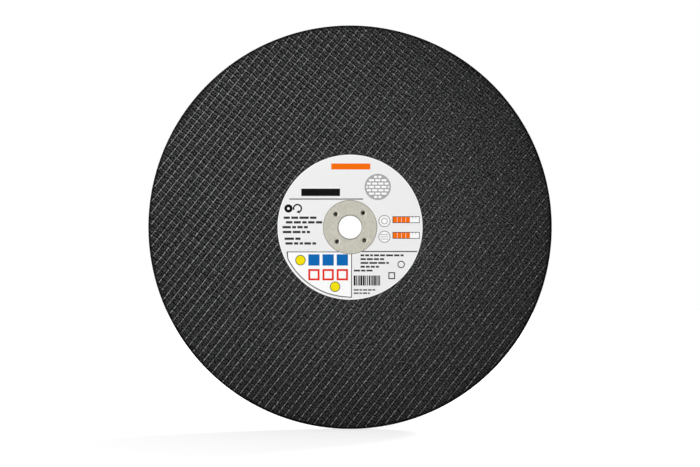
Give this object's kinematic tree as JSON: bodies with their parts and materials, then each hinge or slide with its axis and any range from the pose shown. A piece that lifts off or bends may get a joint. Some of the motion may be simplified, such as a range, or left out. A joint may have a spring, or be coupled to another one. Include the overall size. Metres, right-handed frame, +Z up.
{
  "type": "cut-off wheel",
  "caption": "Thin flat reinforced abrasive cut-off wheel with woven glass faces, a round paper label and a steel-lined centre bore.",
  "frame": {"origin": "centre of the bore at the middle of the wheel's thickness", "axes": "+Y along the bore axis from the labelled front to the plain back, +Z up the labelled face, +X to its right"},
  "size_m": [0.35, 0.0048, 0.35],
  "materials": {
    "abrasive": "matte",
    "glass_yarn": "matte",
    "label_paper": "matte",
    "blotter_paper": "matte",
    "ring_steel": "satin"
  },
  "bodies": {
    "root": {"front_abrasive_layer": "abrasive", "back_abrasive_layer": "abrasive", "front_scrim_lower_warp": "glass_yarn", "front_scrim_weft": "glass_yarn", "front_scrim_upper_warp": "glass_yarn", "centre_scrim_lower_warp": "glass_yarn", "centre_scrim_weft": "glass_yarn", "centre_scrim_upper_warp": "glass_yarn", "back_scrim_lower_warp": "glass_yarn", "back_scrim_weft": "glass_yarn", "back_scrim_upper_warp": "glass_yarn", "front_label": "label_paper", "back_blotter": "blotter_paper", "front_steel_ring": "ring_steel", "back_steel_ring": "ring_steel"}
  },
  "joints": []
}
